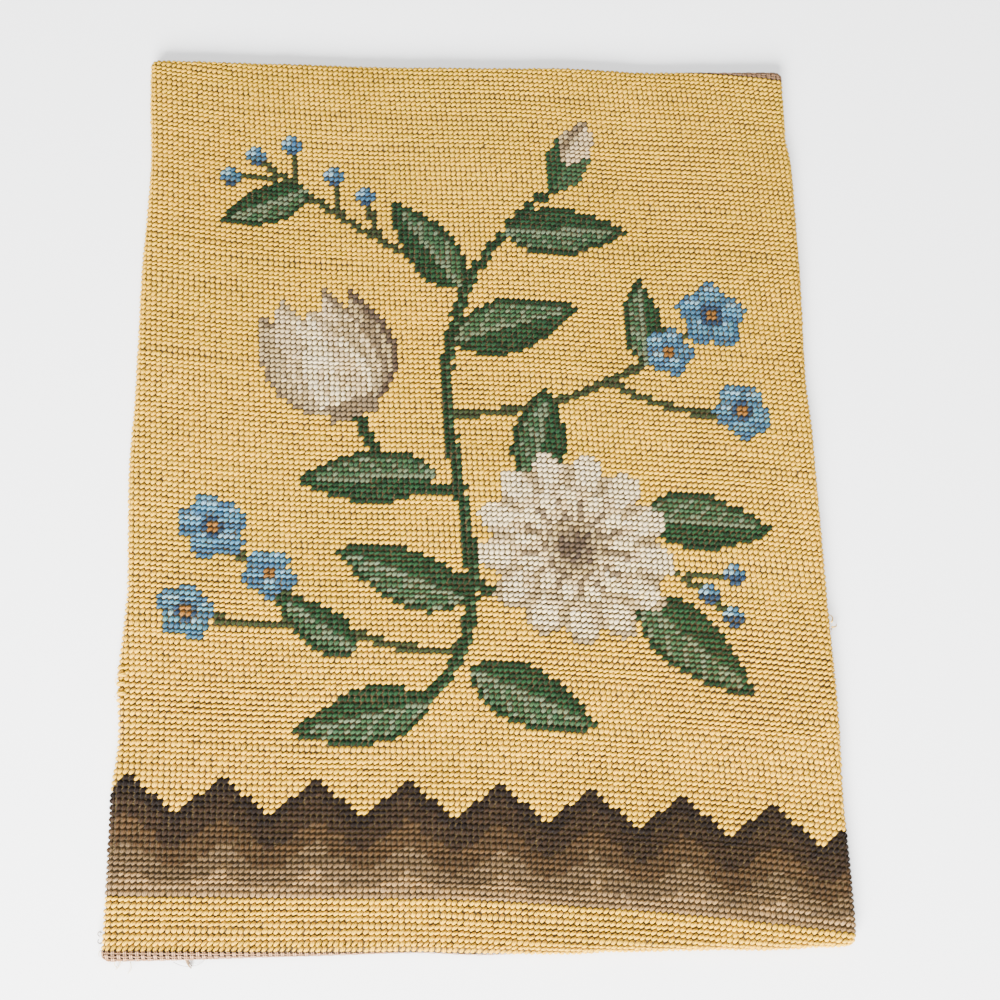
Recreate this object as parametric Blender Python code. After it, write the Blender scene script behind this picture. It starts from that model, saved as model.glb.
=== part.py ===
"""Needlepoint canvas panel: one worked canvas with its four margins turned under, lying face up.

Metres, with +Z up and +Y towards the top of the worked face. The origin is under the middle of the
panel, on the surface that it lies on. The cloth is modelled as its outer side, from the face over the
turned edges to the hems underneath, and is then thickened inwards.
"""
from collections import namedtuple
from math import cos, pi, radians, sin

import bmesh
import bpy
from mathutils import Vector

MM = 0.001

# Driving sizes of the cloth
STITCHES_ACROSS = 127
STITCHES_UP = 171
STITCH_WIDTH = 2.536 * MM
STITCH_HEIGHT = 2.515 * MM
WORKED_THICK = 2.6 * MM
BARE_THICK = 1.3 * MM
HEM_REACH = 27 * MM

# How it is folded and lies
FOLD_RADIUS = 3.1 * MM
MIDDLE_HEIGHT = 3.2 * MM
EASE_REACH = 80 * MM
BEND_REACH = 60 * MM
RIPPLE_HEIGHT = 0.35 * MM
RIPPLE_WIDTH = 190 * MM
RIPPLE_LENGTH = 150 * MM

# How finely it is divided
FACE_COLUMNS = 23
FACE_ROWS = 31
FOLD_STEPS = 6
HEM_STEPS = 2
CORNER_STEPS = 3

# Worked out from the sizes above
WIDTH = STITCHES_ACROSS * STITCH_WIDTH
LENGTH = STITCHES_UP * STITCH_HEIGHT
HALF_WIDTH = WIDTH / 2 - FOLD_RADIUS
HALF_LENGTH = LENGTH / 2 - FOLD_RADIUS

# How far outside a straight line each turned edge lies, in millimetres along it and outwards from it
Bend = namedtuple("Bend", "along outward")
BENDS = {
    "left": [
        Bend(-215, 2.2), Bend(-148, 2.0), Bend(-122, 0.0), Bend(-95, 1.4), Bend(-54, -0.5),
        Bend(2, 1.5), Bend(47, 0.5), Bend(93, 0.5), Bend(157, -1.2), Bend(207, 1.1),
    ],
    "right": [
        Bend(-192, 1.5), Bend(-153, 0.7), Bend(-113, 1.8), Bend(-56, 0.8), Bend(17, 0.4),
        Bend(48, -0.7), Bend(112, 0.7), Bend(162, 0.8), Bend(179, -1.0), Bend(214, -0.6),
    ],
    "top": [
        Bend(-145, 2.7), Bend(-93, 2.1), Bend(-47, 1.3), Bend(0, 1.8),
        Bend(45, 2.5), Bend(91, 0.8), Bend(122, 1.5), Bend(154, 2.2),
    ],
    "bottom": [
        Bend(-134, -0.6), Bend(-84, -1.0), Bend(-33, -1.5), Bend(0, 0.0),
        Bend(45, 0.7), Bend(97, 1.1), Bend(124, 1.7), Bend(150, 0.9),
    ],
}

# The rounding of each corner of the face, inside its turned edges
Corner = namedtuple("Corner", "side_x side_y radius")
CORNERS = [
    Corner(-1, 1, 1.0 * MM),
    Corner(1, 1, 0.8 * MM),
    Corner(-1, -1, 1.0 * MM),
    Corner(1, -1, 3.0 * MM),
]

WOOL_COLOUR = (0.66, 0.44, 0.18, 1.0)
WOOL_ROUGHNESS = 0.85


def clear_scene():
    for item in list(bpy.data.objects):
        bpy.data.objects.remove(item, do_unlink=True)


def ease(share):
    """A smooth step from 0 to 1."""
    share = min(max(share, 0.0), 1.0)
    return share * share * (3 - 2 * share)


def bend(edge, along):
    """How far outwards this edge lies here, eased from one row of its table to the next."""
    rows = BENDS[edge]
    place = min(max(along / MM, rows[0].along), rows[-1].along)
    for low, high in zip(rows, rows[1:]):
        if place <= high.along:
            share = (place - low.along) / (high.along - low.along)
            return (low.outward + (high.outward - low.outward) * ease(share)) * MM


def edge_shift(x, y):
    """The sideways move that the uneven edges give a point of the straight-sided face."""
    side = 1 if x > 0 else -1
    end = 1 if y > 0 else -1
    pull_x = ease(1 - (HALF_WIDTH - abs(x)) / BEND_REACH)
    pull_y = ease(1 - (HALF_LENGTH - abs(y)) / BEND_REACH)
    across = side * pull_x * bend("right" if side > 0 else "left", y)
    up = end * pull_y * bend("top" if end > 0 else "bottom", x)
    return Vector((across, up, 0))


def face_height(x, y):
    """The top of the face: up on the turned edges, eased down to the middle, and a little wavy there."""
    fall = ease((HALF_WIDTH - abs(x)) / EASE_REACH) * ease((HALF_LENGTH - abs(y)) / EASE_REACH)
    wave = sin(2 * pi * x / RIPPLE_WIDTH + 1) * cos(2 * pi * y / RIPPLE_LENGTH)
    middle = MIDDLE_HEIGHT + RIPPLE_HEIGHT * wave
    return 2 * FOLD_RADIUS + (middle - 2 * FOLD_RADIUS) * fall


def outward(x, y):
    """The level direction square to the rim of the face at a point on it."""
    side = 1 if x > 0 else -1
    end = 1 if y > 0 else -1
    radius = next(c.radius for c in CORNERS if (c.side_x, c.side_y) == (side, end))
    past_x = max(0.0, abs(x) - (HALF_WIDTH - radius))
    past_y = max(0.0, abs(y) - (HALF_LENGTH - radius))
    return Vector((side * past_x, end * past_y, 0)).normalized()


def add_face(bm):
    """A grid with rounded corners. Gives the flat place of each rim point."""
    bmesh.ops.create_grid(bm, x_segments=FACE_COLUMNS, y_segments=FACE_ROWS, size=1)
    bmesh.ops.scale(bm, vec=(HALF_WIDTH, HALF_LENGTH, 1), verts=bm.verts)
    for corner in CORNERS:
        point = Vector((corner.side_x * HALF_WIDTH, corner.side_y * HALF_LENGTH, 0))
        nearest = min(bm.verts, key=lambda v: (v.co - point).length)
        bmesh.ops.bevel(
            bm, geom=[nearest], affect="VERTICES", offset=corner.radius,
            segments=CORNER_STEPS, profile=0.5, material=-1,
        )
    return {v: v.co.copy() for v in bm.verts if v.is_boundary}


def extrude_rim(bm, homes, place, thickness, share):
    """Carry the open rim one step on. place gives a point's new position from its home on the face."""
    rim = [e for e in bm.edges if e.is_boundary]
    made = bmesh.ops.extrude_edge_only(bm, edges=rim)["geom"]
    fresh = [g for g in made if isinstance(g, bmesh.types.BMVert)]
    for vert in fresh:
        others = (e.other_vert(vert) for e in vert.link_edges)
        parent = next(v for v in others if v not in fresh)
        homes[vert] = homes[parent]
        vert.co = place(homes[vert])
        vert[thickness][0] = share


def fold_place(turn):
    """Where a point of the rim goes at this turn around the fold, from 0 on the face to pi under it."""
    def place(home):
        out = outward(home.x, home.y) * FOLD_RADIUS * sin(turn)
        up = Vector((0, 0, FOLD_RADIUS * (1 + cos(turn))))
        return Vector((home.x, home.y, 0)) + edge_shift(home.x, home.y) + out + up
    return place


def hem_place(reach):
    """Where a point of the rim goes this far back under the face. The corners come out mitred."""
    def place(home):
        x = home.x * (1 - reach / HALF_WIDTH)
        y = home.y * (1 - reach / HALF_LENGTH)
        return Vector((x, y, 0)) + edge_shift(home.x, home.y)
    return place


def wool_material():
    material = bpy.data.materials.new("gold wool")
    material.use_nodes = True
    shader = material.node_tree.nodes["Principled BSDF"]
    shader.inputs["Base Color"].default_value = WOOL_COLOUR
    shader.inputs["Roughness"].default_value = WOOL_ROUGHNESS
    shader.inputs["Metallic"].default_value = 0.0
    return material


def stitched_canvas():
    """The worked canvas with its turned edges and hems, as one closed piece of cloth."""
    bm = bmesh.new()
    thickness = bm.verts.layers.deform.verify()
    homes = add_face(bm)
    for vert in bm.verts:
        vert[thickness][0] = 1.0
        x, y = vert.co.x, vert.co.y
        vert.co += edge_shift(x, y)
        vert.co.z = face_height(x, y)
    for step in range(1, FOLD_STEPS + 1):
        extrude_rim(bm, homes, fold_place(pi * step / FOLD_STEPS), thickness, 1.0)
    for step in range(1, HEM_STEPS + 1):
        share = 1 + (BARE_THICK / WORKED_THICK - 1) * step / HEM_STEPS
        extrude_rim(bm, homes, hem_place(HEM_REACH * step / HEM_STEPS), thickness, share)
    bmesh.ops.recalc_face_normals(bm, faces=bm.faces)
    highest = max(bm.faces, key=lambda f: f.calc_center_median().z)
    if highest.normal.z < 0:
        bmesh.ops.reverse_faces(bm, faces=bm.faces)

    mesh = bpy.data.meshes.new("stitched_canvas")
    bm.to_mesh(mesh)
    bm.free()
    mesh.materials.append(wool_material())
    mesh.shade_smooth()
    mesh.set_sharp_from_angle(angle=radians(50))
    panel = bpy.data.objects.new("stitched_canvas", mesh)
    bpy.context.scene.collection.objects.link(panel)
    group = panel.vertex_groups.new(name="thickness")

    cloth = panel.modifiers.new("cloth", "SOLIDIFY")
    cloth.thickness = WORKED_THICK
    cloth.offset = -1
    cloth.use_even_offset = True
    cloth.vertex_group = group.name
    cloth.thickness_vertex_group = 0.0
    return panel


def main():
    clear_scene()
    stitched_canvas()


main()
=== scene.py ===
"""Dresses the needlepoint canvas panel: its canvas, wool tent stitches, loose ends and a studio.

Everything worked on the cloth is placed on the flat canvas first, in columns and rows of stitches, and
lie() then says where that place is on the panel: on the face, around a turned edge or on a hem.
"""

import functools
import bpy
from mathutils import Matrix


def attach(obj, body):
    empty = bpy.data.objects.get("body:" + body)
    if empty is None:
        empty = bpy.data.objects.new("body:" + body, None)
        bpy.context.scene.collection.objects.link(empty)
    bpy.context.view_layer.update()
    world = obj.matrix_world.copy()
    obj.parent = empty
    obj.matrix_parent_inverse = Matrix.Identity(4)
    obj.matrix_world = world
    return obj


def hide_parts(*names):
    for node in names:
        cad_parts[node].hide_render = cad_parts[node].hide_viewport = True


bl_info = {
    "name": "Needlepoint canvas panel",
    "version": (1, 0, 0),
    "blender": (4, 5, 0),
    "location": "3D View > Sidebar > Needlepoint",
    "description": "Makes the canvas, the wool stitches and the studio of a needlepoint panel",
    "category": "Object",
}

from collections import namedtuple
from math import cos, pi, radians, sin

import bmesh
import bpy
import numpy as np
from bpy.props import FloatProperty, FloatVectorProperty, PointerProperty
from mathutils import Matrix, Vector

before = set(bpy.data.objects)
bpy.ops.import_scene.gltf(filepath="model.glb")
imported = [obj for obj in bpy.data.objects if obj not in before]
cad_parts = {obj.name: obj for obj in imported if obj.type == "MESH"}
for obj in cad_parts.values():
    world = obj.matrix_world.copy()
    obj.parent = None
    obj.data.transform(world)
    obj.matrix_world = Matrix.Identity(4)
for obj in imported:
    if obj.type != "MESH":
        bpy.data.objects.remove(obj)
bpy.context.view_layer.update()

MM = 0.001

# Sizes of the cloth, as its solid has them
STITCHES_ACROSS = 127
STITCHES_UP = 171
STITCH_WIDTH = 2.536 * MM
STITCH_HEIGHT = 2.515 * MM
HEM_REACH = 27 * MM
FOLD_RADIUS = 3.1 * MM
MIDDLE_HEIGHT = 3.2 * MM
EASE_REACH = 80 * MM
BEND_REACH = 60 * MM
RIPPLE_HEIGHT = 0.35 * MM
RIPPLE_WIDTH = 190 * MM
RIPPLE_LENGTH = 150 * MM
HALF_WIDTH = STITCHES_ACROSS * STITCH_WIDTH / 2 - FOLD_RADIUS
HALF_LENGTH = STITCHES_UP * STITCH_HEIGHT / 2 - FOLD_RADIUS
ARC = pi * FOLD_RADIUS

# How far outside a straight line each turned edge lies, in millimetres along it and outwards from it
Bend = namedtuple("Bend", "along outward")
BENDS = {
    "left": [
        Bend(-215, 2.2), Bend(-148, 2.0), Bend(-122, 0.0), Bend(-95, 1.4), Bend(-54, -0.5),
        Bend(2, 1.5), Bend(47, 0.5), Bend(93, 0.5), Bend(157, -1.2), Bend(207, 1.1),
    ],
    "right": [
        Bend(-192, 1.5), Bend(-153, 0.7), Bend(-113, 1.8), Bend(-56, 0.8), Bend(17, 0.4),
        Bend(48, -0.7), Bend(112, 0.7), Bend(162, 0.8), Bend(179, -1.0), Bend(214, -0.6),
    ],
    "top": [
        Bend(-145, 2.7), Bend(-93, 2.1), Bend(-47, 1.3), Bend(0, 1.8),
        Bend(45, 2.5), Bend(91, 0.8), Bend(122, 1.5), Bend(154, 2.2),
    ],
    "bottom": [
        Bend(-134, -0.6), Bend(-84, -1.0), Bend(-33, -1.5), Bend(0, 0.0),
        Bend(45, 0.7), Bend(97, 1.1), Bend(124, 1.7), Bend(150, 0.9),
    ],
}

# The rounding of the corner on each pair of sides, -1 for left or bottom and 1 for right or top
CORNERS = {(-1, 1): 1.0 * MM, (1, 1): 0.8 * MM, (-1, -1): 1.0 * MM, (1, -1): 3.0 * MM}

# The racking of the canvas: how steeply the rows fall to the right, in degrees at the middle of the
# length and added towards the top, and how far the columns lean left, in degrees. Both are added up
# this many millimetres each way from the middle.
RowSlope = namedtuple("RowSlope", "across middle to_top")
ROW_SLOPES = [
    RowSlope(-161, 5.0, 3.6), RowSlope(-140, 5.2, 3.6), RowSlope(-93, 2.8, 1.3),
    RowSlope(-46, 1.35, 0.0), RowSlope(0, 1.7, -2.3), RowSlope(47, 4.4, 0.0),
    RowSlope(94, 4.2, -2.2), RowSlope(140, 6.8, -1.3),
]
ColumnLean = namedtuple("ColumnLean", "up lean")
COLUMN_LEANS = [
    ColumnLean(-193, 1.0), ColumnLean(-145, 0.4), ColumnLean(-97, 4.6), ColumnLean(-48, 2.5),
    ColumnLean(0, 2.8), ColumnLean(96, 2.0), ColumnLean(145, 2.4), ColumnLean(193, 4.0),
]
SUM_ACROSS, SUM_UP = 240, 260

# The worked part of the canvas, in columns and rows from the middle of the face
FIRST_COLUMN, LAST_COLUMN = -69, 67
FIRST_ROW, LAST_ROW = -86, 87

# Where the wool is rubbed thin on the left edge: along it, and how far past the start of the fold
RUBBED_FROM, RUBBED_TO = -212 * MM, -50 * MM
RUBBED_REACH = 0.9 * MM

# Heights below the top of the stitches, and the thickness of the canvas
CANVAS_DEPTH = 1.15 * MM
BARE_DEPTH = 0.8 * MM
STITCH_DEPTH = 0.92 * MM
CANVAS_THICK = 1.2 * MM

# How far out the bare canvas stands at its sharper folds, up to what turn and how many rows in
TOP_BULGE = 0.4 * MM
BOTTOM_BULGE = 1.2 * MM
BULGE_TURN = 2.6
BULGE_ROWS = 3
BULGE_POWER = 0.7

# How finely the canvas sheet is divided, how squarely a hem faces an edge if it is measured out from
# that edge, and the share of a fold past which the weave is drawn on the sheet itself
FACE_COLUMNS = 70
FACE_ROWS = 92
FOLD_STEPS = 8
HEM_STEPS = 6
CORNER_STEPS = 3
FACING = 0.7
WOVEN_FROM = 0.8

# The camera, fitted to the panel's four corners
CAMERA_PLACE = (-35.5 * MM, -199.2 * MM, 654.5 * MM)
CAMERA_TURN = (radians(16.02), radians(-3.66), radians(-1.09))
CAMERA_LENS = 52.2
CAMERA_SENSOR = 36.0

# The studio, in metres. Each lamp faces the middle of the panel, and its power is one of the settings.
WORKTOP_REACH = 2.5
ROOM_COLOUR = (0.95, 0.97, 1.0, 1.0)
Lamp = namedtuple("Lamp", "name place width height power")
LAMPS = (
    Lamp("window", (-0.55, -1.75, 0.80), 1.5, 0.8, "key_power"),
    Lamp("overhead", (0.25, 0.35, 1.9), 1.8, 1.8, "fill_power"),
)

# The wools, with their own colours, from 0 to 255, and how much of the studio's bright light they return
WOOL_RETURN = 0.6
Wool = namedtuple("Wool", "name family red green blue")
WOOLS = [
    Wool("gold", "gold", 244, 187, 16),
    Wool("ivory", "cream", 236, 212, 162),
    Wool("cream", "cream", 212, 182, 132),
    Wool("oyster", "cream", 174, 148, 102),
    Wool("taupe", "cream", 122, 101, 72),
    Wool("dark_taupe", "cream", 78, 62, 48),
    Wool("forest", "green", 14, 40, 16),
    Wool("leaf", "green", 24, 56, 28),
    Wool("fern", "green", 46, 74, 44),
    Wool("sage", "green", 88, 102, 72),
    Wool("moss", "green", 40, 50, 22),
    Wool("navy", "blue", 34, 54, 74),
    Wool("cornflower", "blue", 50, 90, 113),
    Wool("sky", "blue", 74, 127, 148),
    Wool("mist", "blue", 120, 158, 171),
    Wool("bark", "brown", 24, 14, 8),
    Wool("walnut", "brown", 40, 26, 14),
    Wool("chestnut", "brown", 66, 46, 24),
    Wool("hazel", "brown", 96, 74, 47),
    Wool("oat", "brown", 142, 110, 68),
    Wool("rust", "brown", 134, 86, 28),
]
WOOL_INDEX = {wool.name: index for index, wool in enumerate(WOOLS)}


def linear(red, green, blue):
    """A screen colour from 0 to 255 as the linear colour that materials take."""
    parts = np.array((red, green, blue)) / 255
    return tuple(np.where(parts > 0.04045, ((parts + 0.055) / 1.055) ** 2.4, parts / 12.92))


# The shape of the cloth


def ease(share):
    """A smooth step from 0 to 1."""
    share = np.clip(share, 0.0, 1.0)
    return share * share * (3 - 2 * share)


def bend(edge, along):
    """How far outwards this edge lies here, eased from one row of its table to the next."""
    places, outs = np.array(BENDS[edge]).T * MM
    place = np.clip(along, places[0], places[-1])
    upper = np.clip(np.searchsorted(places, place), 1, len(places) - 1)
    share = (place - places[upper - 1]) / (places[upper] - places[upper - 1])
    return outs[upper - 1] + (outs[upper] - outs[upper - 1]) * ease(share)


def edge_outs(x, y):
    """How far outwards the nearer side and the nearer end of the face lie."""
    side = np.where(x > 0, bend("right", y), bend("left", y))
    return side, np.where(y > 0, bend("top", x), bend("bottom", x))


def corner_radius(side_x, side_y):
    """The rounding of the face at the corner on these sides."""
    radius = 0.0
    for (x, y), rounding in CORNERS.items():
        radius = np.where((side_x == x) & (side_y == y), rounding, radius)
    return radius


def face_height(inside_x, inside_y, x, y):
    """The top of the face, these distances in from its turned edges."""
    fall = ease(inside_x / EASE_REACH) * ease(inside_y / EASE_REACH)
    wave = np.sin(2 * pi * x / RIPPLE_WIDTH + 1) * np.cos(2 * pi * y / RIPPLE_LENGTH)
    return 2 * FOLD_RADIUS + (MIDDLE_HEIGHT + RIPPLE_HEIGHT * wave - 2 * FOLD_RADIUS) * fall


def past_edge(s, t):
    """How far past the start of the fold a place on the flat cloth is, less than 0 on the face.

    Also gives the level direction in which the cloth runs out over the edge there, whether that is at a
    corner, and how far in from the folds the place is.
    """
    side_x = np.where(s > 0, 1.0, -1.0)
    side_y = np.where(t > 0, 1.0, -1.0)
    out_x, out_y = edge_outs(s, t)
    reach_x, reach_y = HALF_WIDTH + out_x, HALF_LENGTH + out_y
    radius = corner_radius(side_x, side_y)
    over_x = np.abs(s) - reach_x + radius
    over_y = np.abs(t) - reach_y + radius
    at_corner = (over_x > 0) & (over_y > 0)
    slant = np.maximum(np.hypot(over_x, over_y), 1e-9)
    past = np.where(at_corner, slant, np.maximum(over_x, over_y)) - radius
    aim_x = side_x * np.where(at_corner, over_x / slant, over_x >= over_y)
    aim_y = side_y * np.where(at_corner, over_y / slant, over_x < over_y)
    inside = (reach_x - np.abs(s), reach_y - np.abs(t))
    return past, aim_x, aim_y, at_corner, inside


def lie(s, t, height):
    """Where a place on the flat cloth lies, this high over the outside of the panel's solid."""
    past, aim_x, aim_y, _, inside = past_edge(s, t)
    around = np.maximum(past, 0.0)
    turn = np.minimum(around / FOLD_RADIUS, pi)
    under = around - turn * FOLD_RADIUS
    out = (FOLD_RADIUS + height) * np.sin(turn) - under - around
    on_face = face_height(inside[0], inside[1], s, t) + height
    on_fold = FOLD_RADIUS + (FOLD_RADIUS + height) * np.cos(turn)
    return np.stack([s + aim_x * out, t + aim_y * out, np.where(past > 0, on_fold, on_face)], axis=-1)


# The grid of stitches on the racked canvas


@functools.lru_cache(maxsize=None)
def summed_slopes():
    """How far the rows have fallen and the columns have drifted, added up every millimetre."""
    def summed(steps, places, slopes):
        total = np.cumsum(np.interp(steps, places, np.tan(np.radians(slopes))))
        return (total - np.interp(0, steps, total)) * MM

    across, up = (np.arange(-reach, reach + 1.0) for reach in (SUM_ACROSS, SUM_UP))
    places, middle, to_top = np.array(ROW_SLOPES).T
    fall, fall_to_top = summed(across, places, middle), summed(across, places, to_top)
    return across * MM, fall, fall_to_top, up * MM, summed(up, *np.array(COLUMN_LEANS).T)


def row_fall(s, t):
    """How far the row at this height has fallen here."""
    across, fall, fall_to_top, _, _ = summed_slopes()
    return np.interp(s, across, fall) + np.interp(s, across, fall_to_top) * t / HALF_LENGTH


def column_drift(t):
    """How far left the columns have drifted at this height."""
    _, _, _, up, drift = summed_slopes()
    return np.interp(t, up, drift)


def on_cloth(column, row):
    """The place on the flat cloth of a column and row, counted in stitches from the middle."""
    level = row * STITCH_HEIGHT
    s = column * STITCH_WIDTH - column_drift(level)
    return s, level - row_fall(s, level)


def on_grid(s, t):
    """The column and row of a place on the flat cloth."""
    level = t
    for _ in range(3):
        level = t + row_fall(s, level)
    return (s + column_drift(level)) / STITCH_WIDTH, level / STITCH_HEIGHT


def inside_rows(row):
    """How many rows in from the first or last worked one, less than 0 where the canvas is bare."""
    return np.minimum(row - FIRST_ROW, LAST_ROW + 1 - row)


def worked_share(column, row):
    """1 where the canvas is worked and 0 where it is bare, eased over one stitch."""
    inside_columns = np.minimum(column - FIRST_COLUMN, LAST_COLUMN + 1 - column)
    return ease(np.minimum(inside_columns, inside_rows(row)) + 0.5)


def bare_bulge(row, past, aim_y):
    """How much further out a fold along a row stands where the canvas is bare and folds more sharply."""
    turn = np.clip(past / FOLD_RADIUS, 0, pi)
    square = np.sin(turn) ** BULGE_POWER * ease(BULGE_TURN - turn)
    reach = np.where(aim_y > 0, TOP_BULGE, BOTTOM_BULGE) * np.abs(aim_y)
    return reach * square * (1 - ease((inside_rows(row) + 0.5) / BULGE_ROWS))


def rubbed(s, t, past):
    """Whether the wool is rubbed thin here, on the outside of the left edge."""
    return (s < 0) & (t > RUBBED_FROM) & (t < RUBBED_TO) & (past > RUBBED_REACH)


# The chart of the design, in stitches from the middle of the face


class Chart:
    """Which wool each stitch of the worked canvas has."""

    def __init__(self):
        columns = np.arange(FIRST_COLUMN, LAST_COLUMN + 1)
        rows = np.arange(FIRST_ROW, LAST_ROW + 1)
        self.u, self.v = np.meshgrid(columns + 0.5, rows + 0.5)
        self.wool = np.full(self.u.shape, WOOL_INDEX["gold"])
        self.grain = np.random.default_rng(11).random(self.u.shape)

    def paint(self, where, wool):
        self.wool[where] = WOOL_INDEX[wool]

    def turned(self, centre, angle):
        """Every stitch's place along and across a direction from a point."""
        du, dv = self.u - centre[0], self.v - centre[1]
        along = du * cos(angle) + dv * sin(angle)
        return along, dv * cos(angle) - du * sin(angle)

    def away(self, centre):
        """Every stitch's distance from a point."""
        return np.hypot(self.u - centre[0], self.v - centre[1])

    def stem(self, points, width, wool):
        """A stem along the curve of its guide points."""
        nearest = functools.reduce(np.minimum, (self.away(place) for place in curve(points).T))
        self.paint(nearest < width, wool)

    def leaf(self, root, tip, width, light_side=1):
        """A pointed leaf with a pale midrib, slanting veins and one lighter half."""
        length = np.hypot(tip[0] - root[0], tip[1] - root[1])
        along, across = self.turned(root, np.arctan2(tip[1] - root[1], tip[0] - root[0]))
        share = np.clip(along / length, 0, 1)
        half = width / 2 * np.sin(pi * share ** 0.75) ** 0.8
        inside = (along > 0) & (along < length) & (np.abs(across) < half)
        self.paint(inside, "leaf")
        self.paint(inside & (np.abs(across) > half - 1.1), "forest")
        light = inside & (across * light_side > 0.4) & (np.abs(across) < half - 1.0)
        self.paint(light, "fern")
        vein = np.mod(along - 1.1 * np.abs(across), 4.2) < 1.15
        self.paint(light & vein, "sage")
        dark = inside & (across * light_side < -0.4) & (np.abs(across) < half - 1.3)
        self.paint(dark & vein, "forest")
        self.paint((np.abs(across) < 0.6) & (along > 0) & (along < length * 0.86), "sage")

    def daisy(self, centre, radius, petals):
        """A full flower seen from the front, in two rings of round-ended petals."""
        du, dv = self.u - centre[0], self.v - centre[1]
        distance = np.hypot(du, dv)
        around = np.arctan2(dv, du)
        for ring, reach, turn in ((0, radius, 0.1), (1, radius * 0.62, 0.1 + pi / petals)):
            fold = np.abs(np.sin((around + turn) * petals / 2))
            edge = reach * (0.84 + 0.16 * (1 - fold ** 3))
            inside = distance < edge
            share = distance / edge
            self.paint(inside, "oyster")
            self.paint(inside & (share > 0.46), "cream")
            self.paint(inside & (share > 0.66) & (fold < 0.8), "ivory")
            self.paint(inside & (fold > 0.93) & (share > 0.35), "taupe" if ring else "oyster")
            self.paint(inside & (share > 0.93) & (dv < -0.2 * radius), "oyster")
            self.paint(inside & (share < 0.5), "taupe")
        self.paint(distance < radius * 0.27, "oyster")
        self.paint(distance < radius * 0.2, "taupe")
        self.paint((distance < radius * 0.2) & (self.grain > 0.5), "dark_taupe")

    def tulip(self, foot, length, angle):
        """A cup-shaped flower seen from the side, with three pointed petals."""
        along, across = self.turned(foot, angle)
        share = np.clip(along / length, 0, 1)
        for lean, width, reach, main, shade, fold in (
            (0.34, 0.25, 0.93, "oyster", "cream", "taupe"),
            (-0.34, 0.25, 0.90, "oyster", "taupe", "dark_taupe"),
            (0.17, 0.25, 1.0, "cream", "ivory", "oyster"),
            (-0.16, 0.27, 0.97, "cream", "oyster", "taupe"),
            (0.0, 0.28, 0.86, "ivory", "cream", "oyster"),
        ):
            middle = lean * length * np.sin(pi / 2 * np.clip(share / reach, 0, 1)) ** 0.8
            half = width * length * np.sin(pi * np.clip(share / reach, 0, 1) ** 0.62)
            aside = across - middle
            inside = (along > 0) & (share < reach) & (np.abs(aside) < half)
            self.paint(inside, main)
            self.paint(inside & (np.abs(aside + 0.35 * half) < 0.22 * half), shade)
            self.paint(inside & (np.mod(aside + 0.5, 3.2) < 1.0) & (share < 0.42), shade)
            self.paint(inside & (aside < 1.3 - half), fold)
            self.paint(inside & (aside > half - 0.9) & (share < 0.6), fold)
        self.paint((along > 0) & (share < 0.13) & (np.abs(across) < 0.18 * length), "taupe")

    def bud(self, foot, length, angle):
        """A closed flower in its green cup."""
        along, across = self.turned(foot, angle)
        share = np.clip(along / length, 0, 1)
        half = 0.24 * length * np.sin(pi * share ** 0.8) ** 0.7
        inside = (along > 0) & (along < length) & (np.abs(across) < half)
        self.paint(inside, "cream")
        self.paint(inside & (across > 0.5), "oyster")
        self.paint(inside & (np.abs(across - 0.12 * length * np.sin(pi * share)) < 0.6), "taupe")
        cup = inside & (along < length * (0.34 + 0.3 * np.abs(across) / (0.24 * length)))
        self.paint(cup, "fern")
        self.paint(cup & (across > 0), "leaf")

    def blossom(self, centre, size, turn):
        """A small five-petalled flower with a rust eye."""
        for k in range(5):
            angle = turn + 2 * pi * k / 5
            middle = (centre[0] + 0.58 * size * cos(angle), centre[1] + 0.58 * size * sin(angle))
            away = self.away(middle)
            self.paint(away < 0.47 * size, "cornflower")
            self.paint((away < 0.36 * size) & (self.v > middle[1] - 0.1 * size), "sky")
            self.paint((away < 0.3 * size) & (self.v > middle[1] + 0.14 * size), "mist")
        self.paint(self.away(centre) < 0.34 * size, "navy")
        self.paint(self.away(centre) < 0.19 * size, "rust")

    def berry(self, centre, size):
        """A round berry, lighter at its upper left."""
        inside = self.away(centre) < size
        self.paint(inside, "cornflower")
        self.paint(inside & (self.v < centre[1] - 0.3 * size), "navy")
        self.paint(inside & (self.u < centre[0]) & (self.v > centre[1]), "mist")

    def flame_band(self, bottom, top, point, repeat):
        """Zigzag bands of brown, darkest at the top, on a level foot."""
        zigzag = point * (np.abs(np.mod(self.u / repeat, 1) * 2 - 1) * 2 - 1)
        inside = (self.v > bottom) & (self.v < top + zigzag)
        shades = ("oat", "hazel", "chestnut", "walnut", "bark")
        step = (top + point - bottom) / len(shades)
        level = (self.v - bottom - zigzag * np.clip((self.v - bottom) / 6, 0, 1)) / step
        level = level + 0.22 * (self.grain - 0.5)
        for k, shade in enumerate(shades):
            above = level >= k - 0.35 if k else level >= -9
            self.paint(inside & above, shade)


def curve(points):
    """Places along the smooth curve of two or more guide points."""
    share = np.linspace(0, 1, CURVE_STEPS)
    places = [np.array(point, float)[:, None] + 0 * share for point in points]
    while len(places) > 1:
        places = [a + (b - a) * share for a, b in zip(places, places[1:])]
    return places[0]


CURVE_STEPS = 60
Berry = namedtuple("Berry", "u v size twig_u twig_v")
BERRIES = [
    Berry(-40, 64, 2.1, -38, 62), Berry(-33, 67, 2.1, -32, 58), Berry(-45, 59, 2.1, -36, 60),
    Berry(-25, 61, 2.1, -24, 53), Berry(-19, 57, 2.1, -17, 49),
    Berry(41, -20, 1.6, 31, -14), Berry(46, -16, 1.6, 37, -17), Berry(45, -24, 1.6, 39, -19),
]


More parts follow.
